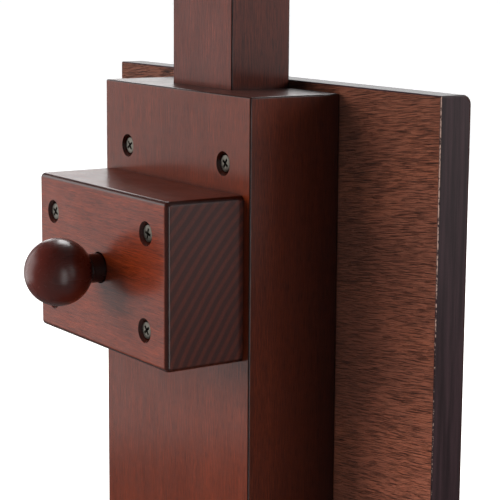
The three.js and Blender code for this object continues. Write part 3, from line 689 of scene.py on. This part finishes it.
def add_lock_block(material):
    low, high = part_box("lock_block")
    back = high.y + 0.3 * MM  # against the column

    def at_back(a, b):
        return abs(a.y - b.y) < NEAR and a.y > high.y

    block = box_mesh(low, (high.x, back, high.z), 2.3 * MM, 7, at_back)
    room, end = 8.2 * MM, high.y - low.y + 1 * MM
    mouth = [(0, -1 * MM), (STEM + 0.9 * MM, -1 * MM), (STEM + 0.4 * MM, 0.4 * MM)]
    inside = [(STEM + 0.3 * MM, 6.6 * MM), (room, 6.6 * MM), (room, end), (0, end)]
    bore = turned_mesh(mouth + inside, (0, low.y, knob_z), Y, 64)
    piece("lock_block", carve(block, bore, *sinks("block_screw")), material)


def add_ball_knob(material):
    """A ball on a round stem, with a small fillet between them and a hole for the pin in its end."""
    low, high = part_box("ball_knob")
    r = (high.x - low.x) / 2
    meet = math.asin(STEM / r)
    neck = r * math.cos(meet)
    end = high.y - (low.y + r)
    angles = [i * (math.pi - meet) / BALL_STEPS for i in range(BALL_STEPS + 1)]
    profile = [(r * math.sin(t), -r * math.cos(t)) for t in angles]
    profile += [(STEM + 0.25 * MM, neck + 0.35 * MM), (STEM, neck + 1.0 * MM)]
    profile += [(STEM, end - 0.5 * MM), (STEM - 0.5 * MM, end), (2.8 * MM, end)]
    profile += [(2.8 * MM, end - 12 * MM), (0, end - 12 * MM)]
    piece("ball_knob", turned_mesh(profile, (0, low.y + r, knob_z), Y, 96), material)


def add_lock_pin(metal):
    low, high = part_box("lock_pin")
    end = high.y - low.y
    profile = in_mm((0, 0), (2.1, 0), (2.5, 0.4), (2.5, 10))
    profile += in_mm((7.2, 10), (7.6, 10.4), (7.6, 12.6), (7.2, 13), (4, 13))
    profile += [(4 * MM, end - 1.5 * MM), (3.4 * MM, end - 0.5 * MM), (2.6 * MM, end), (0, end)]
    piece("lock_pin", turned_mesh(profile, (0, low.y, knob_z), Y), metal)


def add_bush(brass):
    low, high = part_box("pin_bush")
    end = high.y - low.y
    profile = in_mm((4.3, 0), (8.7, 0), (9, 0.3), (9, 1.5), (6, 1.5))
    profile += [(6 * MM, end - 0.4 * MM), (5.6 * MM, end), (4.3 * MM, end)]
    piece("pin_bush", turned_mesh(profile, (0, low.y, knob_z), Y, closed=True), brass)


def add_spring(metal):
    """A coil of round wire."""
    low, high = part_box("plunger_spring")
    wire, sides = SPRING["wire"], SPRING["sides"]
    coil = (high.z - low.z) / 2 - wire
    long = high.y - low.y - 2 * wire
    whole = 2 * math.pi * SPRING["turns"]
    count = SPRING["turns"] * SPRING["steps"]
    bm = bmesh.new()
    rows = []
    for i in range(count + 1):
        t = i / count
        a = whole * t
        centre = Vector((coil * math.cos(a), low.y + wire + long * t, knob_z + coil * math.sin(a)))
        out = Vector((math.cos(a), 0, math.sin(a)))
        tangent = Vector((-coil * math.sin(a) * whole, long, coil * math.cos(a) * whole)).normalized()
        side = tangent.cross(out)
        ring = [2 * math.pi * k / sides for k in range(sides)]
        rows.append([bm.verts.new(centre + (out * math.cos(b) + side * math.sin(b)) * wire) for b in ring])
    for a, b in zip(rows, rows[1:]):
        for k in range(sides):
            m = (k + 1) % sides
            bm.faces.new([a[k], a[m], b[m], b[k]])
    bm.faces.new(rows[0])
    bm.faces.new(rows[-1])
    bmesh.ops.recalc_face_normals(bm, faces=bm.faces)
    made = piece("plunger_spring", bm, metal)
    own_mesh(made)


# ---- base ----------------------------------------------------------------------------------------

FOOT_EDGE = 2.5 * MM
FOOT_TIP = 17 * MM  # height of a foot's two ends
FOOT_ROUND = 5 * MM


def add_base(board_wood, foot_wood, pad_felt):
    """The base board, the two feet under it and the four felt pads."""
    low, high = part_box("base_board")
    screwed = carve(box_mesh(low, high, 3 * MM, 6), *sinks("foot_screw", "column_screw", "panel_foot_screw"))
    piece("base_board", screwed, board_wood)
    for side in ("left", "right"):
        node = "foot_" + side
        a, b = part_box(node)
        foot = prism_mesh(foot_outline(a, b, low, high), a.x, b.x, FOOT_EDGE)
        piece(node, carve(foot, *sinks("foot_screw_front_" + side, "foot_screw_back_" + side)), foot_wood)
        for end in ("front", "back"):
            add_pad(f"foot_pad_{end}_{side}", pad_felt)


def add_pad(node, material):
    """A felt pad, which reaches up to the foot over the gap that CAD leaves."""
    low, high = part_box(node)
    r = (high.x - low.x) / 2
    top = high.z - low.z + 0.3 * MM
    profile = [(0, 0), (r - 0.9 * MM, 0), (r - 0.3 * MM, 0.25 * MM), (r, 0.9 * MM)]
    profile += [(r, top - 0.6 * MM), (r - 0.3 * MM, top), (0, top)]
    centre = (low + high) / 2
    piece(node, turned_mesh(profile, (centre.x, centre.y, low.z), Z, 64), material)


def foot_outline(low, high, base_low, base_high):
    """A foot from the side: flat under the base board, then sloping down to its two blunt ends."""
    e = FOOT_ROUND
    tip = low.z + FOOT_TIP
    top, bottom, front, back = high.z, low.z, low.y, high.y
    slope = tip + 2 * MM  # where the slope meets the rounded end
    back_knee = (base_high.y + 38.5 * MM, top - 3 * MM)
    front_knee = (base_low.y - 49.5 * MM, top - 4 * MM)
    points = arc_points(back - e, bottom + e, e, -90, 0, 6) + [(back, tip - e)]
    points += curve((back, tip - e), (back, tip), (back - 2 * e, slope), 6) + [back_knee]
    points += curve(back_knee, (base_high.y + 25 * MM, top), (base_high.y + 10 * MM, top))
    points += [(base_low.y - 10 * MM, top)]
    points += curve((base_low.y - 10 * MM, top), (base_low.y - 25 * MM, top), front_knee)
    points += [(front + 2 * e, slope)]
    points += curve((front + 2 * e, slope), (front, tip), (front, tip - e), 6)
    return points + arc_points(front + e, bottom + e, e, 180, 270, 6)


# ---- arm and its knobs ---------------------------------------------------------------------------

TONGUE = 7.7 * MM  # half its width
EYE = {"long": 54 * MM, "edge": 3.2 * MM}
SLIT = {"half": 1 * MM, "deep": 32 * MM}
LOBES = {"count": 6, "depth": 0.09, "points": 120}  # depth: share of the hand knob's radius
BOSS = 4 * MM
KNOB_WALL = 4 * MM  # left beyond the blind hole for the bolt


def add_arm(arm_wood, knob_wood, metal):
    """The arm, and on it the tilt and the clamp bolts with their washers and hand knobs."""
    low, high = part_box("tilt_arm")
    axis = middle_of("tilt_bolt")
    r = high.y - axis.y
    front = low.y + 3 * MM
    outline = arc_points(axis.y, axis.z, r, -90, 90, 28) + [(front, axis.z + r), (front, axis.z - r)]
    tongue = prism_mesh(outline, -TONGUE, TONGUE, 1.6 * MM)
    eye = box_mesh(low, (high.x, low.y + EYE["long"], high.z), EYE["edge"], 6)
    steps = in_mm((0, -1), (7, -1), (6.3, 0.7), (6.3, 50), (0, 50))
    bore = turned_mesh(steps, (0, low.y, axis.z), Y, 64)
    slit_low = (-SLIT["half"], low.y - 1 * MM, axis.z)
    slit_high = (SLIT["half"], low.y + SLIT["deep"], high.z + 1 * MM)
    across = []
    for kind, sizes in BOLTS.items():
        point = middle_of(kind + "_bolt")
        across.append(bar_mesh(sizes["hole"], 0, 60 * MM, (-30 * MM, point.y, point.z), X))
    bored = carve(combine(eye, tongue, "UNION"), bore)
    split = carve(bored, box_mesh(slit_low, slit_high, CUT_EDGE, 1))
    piece("tilt_arm", carve(split, *across), arm_wood)
    for kind in BOLTS:
        add_bolt(kind, metal)
        add_washer(kind, metal)
        add_hand_knob(kind, knob_wood)


def turned_on_x(node, profile, sides, closed=False):
    """A profile turned round the X axis through the middle of a node, from its left end."""
    low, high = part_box(node)
    centre = (low + high) / 2
    return turned_mesh(profile, (low.x, centre.y, centre.z), X, sides, closed)


def add_bolt(kind, metal):
    """A carriage bolt: dome head on the left and a plain shank."""
    node = kind + "_bolt"
    low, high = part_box(node)
    r, end = (high.z - low.z) / 2, high.x - low.x
    shank, dome = BOLTS[kind]["shank"], BOLTS[kind]["dome"]
    angles = [i * math.pi / 2 / 12 for i in range(12)]
    profile = [(r * math.sin(t), dome * (1 - math.cos(t))) for t in angles]
    profile += [(r, dome - 0.15 * MM), (r - 0.2 * MM, dome), (shank, dome)]
    profile += [(shank, end - 0.5 * MM), (shank - 0.5 * MM, end), (0, end)]
    piece(node, turned_on_x(node, profile, 56), metal)


def add_washer(kind, metal):
    node = kind + "_washer"
    low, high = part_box(node)
    r, end = (high.z - low.z) / 2, high.x - low.x
    hole = BOLTS[kind]["washer"]
    c = 0.25 * MM
    profile = [(hole, 0), (r - c, 0), (r, c), (r, end - c), (r - c, end), (hole, end)]
    piece(node, turned_on_x(node, profile, 56, closed=True), metal)


def add_hand_knob(kind, material):
    """A lobed knob with a round boss toward the arm and a blind hole for the bolt."""
    node = kind + "_knob"
    low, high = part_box(node)
    centre = middle_of(kind + "_bolt")
    r = (high.y - low.y) / 2
    wave = r * LOBES["depth"]
    outline = []
    for i in range(LOBES["points"]):
        a = 2 * math.pi * i / LOBES["points"]
        reach = r - wave + wave * math.cos(LOBES["count"] * a)
        outline.append((centre.y + reach * math.sin(a), centre.z + reach * math.cos(a)))
    head = prism_mesh(outline, low.x + 3 * MM, high.x, 2.2 * MM, 6)
    boss_r = BOLTS[kind]["boss"]
    foot = (low.x, centre.y, centre.z)
    rounded = [(0, 0), (boss_r - 0.6 * MM, 0), (boss_r, 0.6 * MM), (boss_r, BOSS), (0, BOSS)]
    whole = combine(head, turned_mesh(rounded, foot, X, 64), "UNION")
    hole = bar_mesh(BOLTS[kind]["hole"], -1 * MM, high.x - low.x - KNOB_WALL, foot, X)
    piece(node, carve(whole, hole), material)


# ---- hoop ----------------------------------------------------------------------------------------

RING_SIDES = 200
INNER_RING = {"thick": 4 * MM, "edge": 1.0 * MM}
OUTER_RING = {"thick": 4.5 * MM, "edge": 1.1 * MM, "half_gap": 3.5 * MM}
SCREW_HOLE = 2.3 * MM
SADDLE_SCREW = {"angle": math.radians(5.2), "long": 14.7 * MM}
KNURL = {"head": 9 * MM, "points": 96, "deep": 0.35 * MM, "edge": 0.25 * MM}


def ring_mesh(centre, outer, height, sizes):
    """A ring round Z whose four edges are rounded."""
    e = sizes["edge"]
    inside, outside, top = outer - sizes["thick"] + e, outer - e, height / 2 - e
    profile = []
    for r, h, start in ((outside, -top, -90), (outside, top, 0), (inside, top, 90), (inside, -top, 180)):
        profile += arc_points(r, h, e, start, start + 90, 4)
    return turned_mesh(profile, centre, Z, RING_SIDES, closed=True)


def add_hoop(material, metal):
    """The two rings, and all that holds the outer one together and on the arm."""
    low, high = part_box("inner_ring")
    centre = (low + high) / 2
    height = high.z - low.z
    piece("inner_ring", ring_mesh(centre, (high.x - low.x) / 2, height, INNER_RING), material)

    low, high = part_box("outer_ring")
    outer = (high.x - low.x) / 2
    half = OUTER_RING["half_gap"]
    gap_low = (-half, low.y - 5 * MM, low.z - 5 * MM)
    gap_high = (half, low.y + 15 * MM, high.z + 5 * MM)
    ring = ring_mesh(centre, outer, height, OUTER_RING)
    piece("outer_ring", carve(ring, box_mesh(gap_low, gap_high, CUT_EDGE, 1)), material)

    def room():
        """The space of the outer ring, which the pieces against it leave free."""
        return bar_mesh(outer + 0.2 * MM, -30 * MM, 30 * MM, centre, Z, RING_SIDES)

    add_saddle(room(), material)
    add_dowel(material)
    for side in ("left", "right"):
        add_lug(side, room(), metal)
        add_rivet(side, metal)
        add_saddle_screw(side, metal)
    add_tension_screw(metal)
    add_tension_nut(metal)


def add_saddle(room, material):
    low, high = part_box("saddle")
    foot = (0, high.y - 14 * MM, middle_of("swivel_dowel").z)
    bore = bar_mesh(6.1 * MM, 0, 20 * MM, foot, Y, 64)
    piece("saddle", carve(box_mesh(low, high, 1.8 * MM), room, bore), material)


def add_dowel(material):
    low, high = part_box("swivel_dowel")
    r, end = (high.x - low.x) / 2, high.y - low.y
    c = 0.8 * MM
    profile = [(0, 0), (r - c, 0), (r, c), (r, end - c), (r - c, end), (0, end)]
    foot = (0, low.y, middle_of("swivel_dowel").z)
    piece("swivel_dowel", turned_mesh(profile, foot, Y, 64), material)


def screw_hole(left):
    """The tension screw's hole through a piece whose left side is at `left`."""
    axis = middle_of("tension_screw")
    return bar_mesh(SCREW_HOLE, 0, 20 * MM, (left - 5 * MM, axis.y, axis.z), X, 40)


def add_lug(side, room, metal):
    node = "tension_lug_" + side
    low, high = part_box(node)
    lug = box_mesh(low, high, 0.9 * MM, 4)
    piece(node, carve(carve(lug, screw_hole(low.x)), room), metal)


def add_rivet(side, metal):
    node = "lug_rivet_" + side
    low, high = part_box(node)
    r, end = (high.x - low.x) / 2, high.y - low.y
    profile = [(0, 0), (r, 0), (r, end - 0.4 * MM), (r - 0.3 * MM, end), (0, end)]
    centre = (low + high) / 2
    piece(node, turned_mesh(profile, (centre.x, low.y, centre.z), Y, 32), metal)


def add_saddle_screw(side, metal):
    """A small countersunk screw from inside the outer ring, square to it."""
    node = "saddle_screw_" + side
    low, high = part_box(node)
    sign = 1 if side == "right" else -1
    angle, long = SADDLE_SCREW["angle"], SADDLE_SCREW["long"]
    way = Vector((-sign * math.sin(angle), -math.cos(angle), 0))
    top = (low + high) / 2 + way * (high.y - low.y) / 2
    profile = [(0, -long), (1.2 * MM, 3 * MM - long), (1.2 * MM, -1.4 * MM), (2.6 * MM, 0), (0, 0.12 * MM)]
    piece(node, turned_mesh(profile, top, way, 36), metal)


def add_tension_screw(metal):
    """A plain shaft with a collar, and a knurled head on its right."""
    low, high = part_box("tension_screw")
    centre = (low + high) / 2
    r = (high.z - low.z) / 2
    reach = high.x - low.x - KNURL["head"]
    collar = reach + 1.2 * MM
    profile = in_mm((0, 0), (1.5, 0), (2, 0.5))
    profile += [(2 * MM, reach), (r - 2 * MM, reach), (r - 2 * MM, collar), (0, collar)]
    outline = []
    for i in range(KNURL["points"]):
        a = 2 * math.pi * i / KNURL["points"]
        radius = r - (0.0 if i % 4 in (0, 1) else KNURL["deep"])
        outline.append((centre.y + radius * math.sin(a), centre.z + radius * math.cos(a)))
    knurled = prism_mesh(outline, high.x - KNURL["head"] + 1 * MM, high.x, KNURL["edge"], 1)
    piece("tension_screw", joined(turned_on_x("tension_screw", profile, 48), knurled), metal, angle=30)


def add_tension_nut(metal):
    """A hexagon nut."""
    low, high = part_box("tension_nut")
    end = high.x - low.x
    nut = turned_on_x("tension_nut", [(0, 0), (4 * MM, 0), (4 * MM, end), (0, end)], 6)
    bmesh.ops.bevel(nut, geom=list(nut.edges), offset=0.25 * MM, segments=2, affect="EDGES")
    piece("tension_nut", carve(nut, screw_hole(low.x)), metal, angle=25)


# ---- build ---------------------------------------------------------------------------------------

knob_z = middle_of("ball_knob").z
column_low, column_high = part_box("column_front")
knob_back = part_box("ball_knob")[1].y

# The stain of each kind of wood, from its darkest to its lightest.
BOARD_STAIN = ((0.045, 0.0062, 0.0015), (0.112, 0.0165, 0.0040))
# the stiles' stain, a touch darker than the front board's: painted shade for the column's sides
SHADED_STILE_STAIN = ((0.045, 0.0062, 0.0015), (0.104, 0.0150, 0.0036))
POST_STAIN = ((0.042, 0.0062, 0.0024), (0.102, 0.0155, 0.0062))
BLOCK_STAIN = ((0.062, 0.0068, 0.0015), (0.145, 0.0205, 0.0040))
BASE_STAIN = ((0.033, 0.0055, 0.0024), (0.078, 0.0165, 0.0066))
RING_STAIN = ((0.036, 0.0065, 0.003), (0.085, 0.019, 0.008))
KNOB_STAIN = ((0.043, 0.0044, 0.0020), (0.074, 0.0078, 0.0034))

# painted shade on the column's sides, deepening toward the panel that hides them from the light
side_shade = (column_low.y + 6 * MM, column_low.y + 46 * MM)
# painted shadow of the ball on the knob's neck
neck_shade = (knob_back - 39 * MM, knob_back - 34 * MM)
block_heart = (0, 0.234, knob_z - 0.118)  # gives the end grain its slanting stripes
column_wood = wood("column_wood", "Z", (0.05, 0.15, 0), 6 * MM, BOARD_STAIN, ring=0.1, painted_shade=side_shade)
stile_wood = wood("stile_wood", "Z", (0.01, 0.3, 0), 6 * MM, SHADED_STILE_STAIN, ring=0.1, painted_shade=side_shade)
post_wood = wood("post_wood", "Z", (-0.03, 0.2, 0), 5 * MM, POST_STAIN, ring=0.08)
block_wood = wood("block_wood", "X", block_heart, 4 * MM, BLOCK_STAIN, ring=0.12, end_ring=1.0)
cross_wood = wood("cross_wood", "X", (0, 0.1, 0.2), 6 * MM, BASE_STAIN, ring=0.15)
runner_wood = wood("runner_wood", "Y", (0.1, 0, 0.15), 6 * MM, BASE_STAIN, ring=0.15)
ring_wood = wood(
    "ring_wood", "Y", (0.1, 0, 0.5), 7 * MM, RING_STAIN, ring=0.1, end_ring=0.0, boards=False,
)
knob_wood = wood(
    "knob_wood", "Y", (0.05, 0, knob_z), 6 * MM, KNOB_STAIN, ring=0.05, end_ring=0.0,
    coat=1.0, gloss=0.25, pores=0.0, painted_shade=neck_shade, boards=False,
)
panel_veneer = veneer("panel_veneer", *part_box("back_panel"))
zinc = steel("zinc", (0.16, 0.145, 0.12), 0.36)
brass = steel("brass", (0.66, 0.45, 0.19), 0.3)
pad_felt = felt("pad_felt")

add_column(column_wood, stile_wood)
add_panel(panel_veneer)
add_post(post_wood)
add_block(block_wood, knob_wood, zinc, brass)
add_base(cross_wood, runner_wood, pad_felt)
add_screws(zinc)
add_arm(runner_wood, knob_wood, zinc)
add_hoop(ring_wood, zinc)


# ---- stage: floor, light and camera --------------------------------------------------------------

FLOOR_HALF = 150
FLOOR_GAP = 0.2 * MM
AIR = (0.96, 0.98, 1.0)
FILL, BACKDROP = 0.12, 1.1  # strength of the surroundings as light, and as the camera sees them
MIDDLE = (0, 0.1, 0.5)

scene = bpy.context.scene
scene.view_settings.view_transform = "Standard"


def add_floor():
    bm = bmesh.new()
    bmesh.ops.create_grid(bm, x_segments=2, y_segments=2, size=FLOOR_HALF)
    floor = mesh_object(bm, "floor")
    floor.location.z = cad_low.z - FLOOR_GAP
    floor.data.materials.append(floor_material())
    floor.visible_glossy = False


def add_world():
    """Faint light from all round, but above the horizon the camera sees a white like the floor's."""
    world = bpy.data.worlds.new("studio")
    scene.world = world
    world.use_nodes = True
    tree = world.node_tree
    background = tree.nodes["Background"]
    background.inputs["Color"].default_value = rgba(AIR)
    seen = tree.nodes.new("ShaderNodeLightPath").outputs["Is Camera Ray"]
    strength = tree.nodes.new("ShaderNodeMapRange")
    strength.inputs["To Min"].default_value = FILL
    strength.inputs["To Max"].default_value = BACKDROP
    tree.links.new(seen, strength.inputs["Value"])
    tree.links.new(strength.outputs["Result"], background.inputs["Strength"])


def lamp(name, place, energy, target=MIDDLE, **settings):
    """A light that the camera doesn't see: a sun where `settings` give an angle, or else a panel."""
    data = bpy.data.lights.new(name, "SUN" if "angle" in settings else "AREA")
    data.energy = energy
    if data.type == "AREA":
        data.shape = "RECTANGLE"
    for key, value in settings.items():
        setattr(data, key, value)
    made = bpy.data.objects.new(name, data)
    scene.collection.objects.link(made)
    made.location = place
    made.rotation_mode = "QUATERNION"
    made.rotation_quaternion = (Vector(target) - Vector(place)).to_track_quat("-Z", "Y")
    made.visible_camera = False
    return made


def add_lights():
    """A broad front light, panels that put a sheen on the lacquer, and one for the rounded edges."""
    sun = lamp("sun", (-0.60, -0.74, 0.26), 7.0, target=(0, 0, 0), angle=math.radians(45))
    sun.visible_glossy = False
    lamp("left_softbox", (-0.95, -0.55, 0.55), 4.8, size=1.15, size_y=1.0)
    lamp("right_card", (0.98, 0.79, 0.66), 3.0, size=1.0, size_y=0.8)
    lamp("back_card", (-2.6, 3.0, 1.75), 72, target=(0, 0.1, 0.9), size=5.0, size_y=1.9)
    lamp("right_softbox", (1.3, 2.6, 1.6), 75, size=1.2, size_y=1.2)
    lamp("top_softbox", (-0.93, 0.84, 1.75), 9, size=0.6, size_y=0.6)
    edge_card = lamp("edge_card", (1.2, -0.12, 0.34), 2.5, size=0.3, size_y=1.0)
    edge_card.visible_diffuse = False


# The camera stands to the right of the column's front and looks a little down at the lock block.
YAW, PITCH, ROLL = (math.radians(angle) for angle in (54.691, 8.942, -0.653))
EYE_PLACE = Vector((601.89 * MM, column_low.y - 362.28 * MM, column_high.z + 51.95 * MM))
LENS = {"sensor_width": 36, "lens": 117.04, "shift_x": -0.086, "shift_y": -0.0548, "clip_end": 500}


def add_camera():
    data = bpy.data.cameras.new("camera")
    for key, value in LENS.items():
        setattr(data, key, value)
    made = bpy.data.objects.new("camera", data)
    scene.collection.objects.link(made)
    scene.camera = made
    ahead = Vector((-math.sin(YAW) * math.cos(PITCH), math.cos(YAW) * math.cos(PITCH), -math.sin(PITCH)))
    right = Vector((math.cos(YAW), math.sin(YAW), 0))
    down = ahead.cross(right)
    across = math.cos(ROLL) * right + math.sin(ROLL) * down
    under = -math.sin(ROLL) * right + math.cos(ROLL) * down
    turn = Matrix((across, -under, -ahead)).transposed()
    made.matrix_world = Matrix.Translation(EYE_PLACE) @ turn.to_4x4()


add_floor()
add_world()
add_lights()
add_camera()
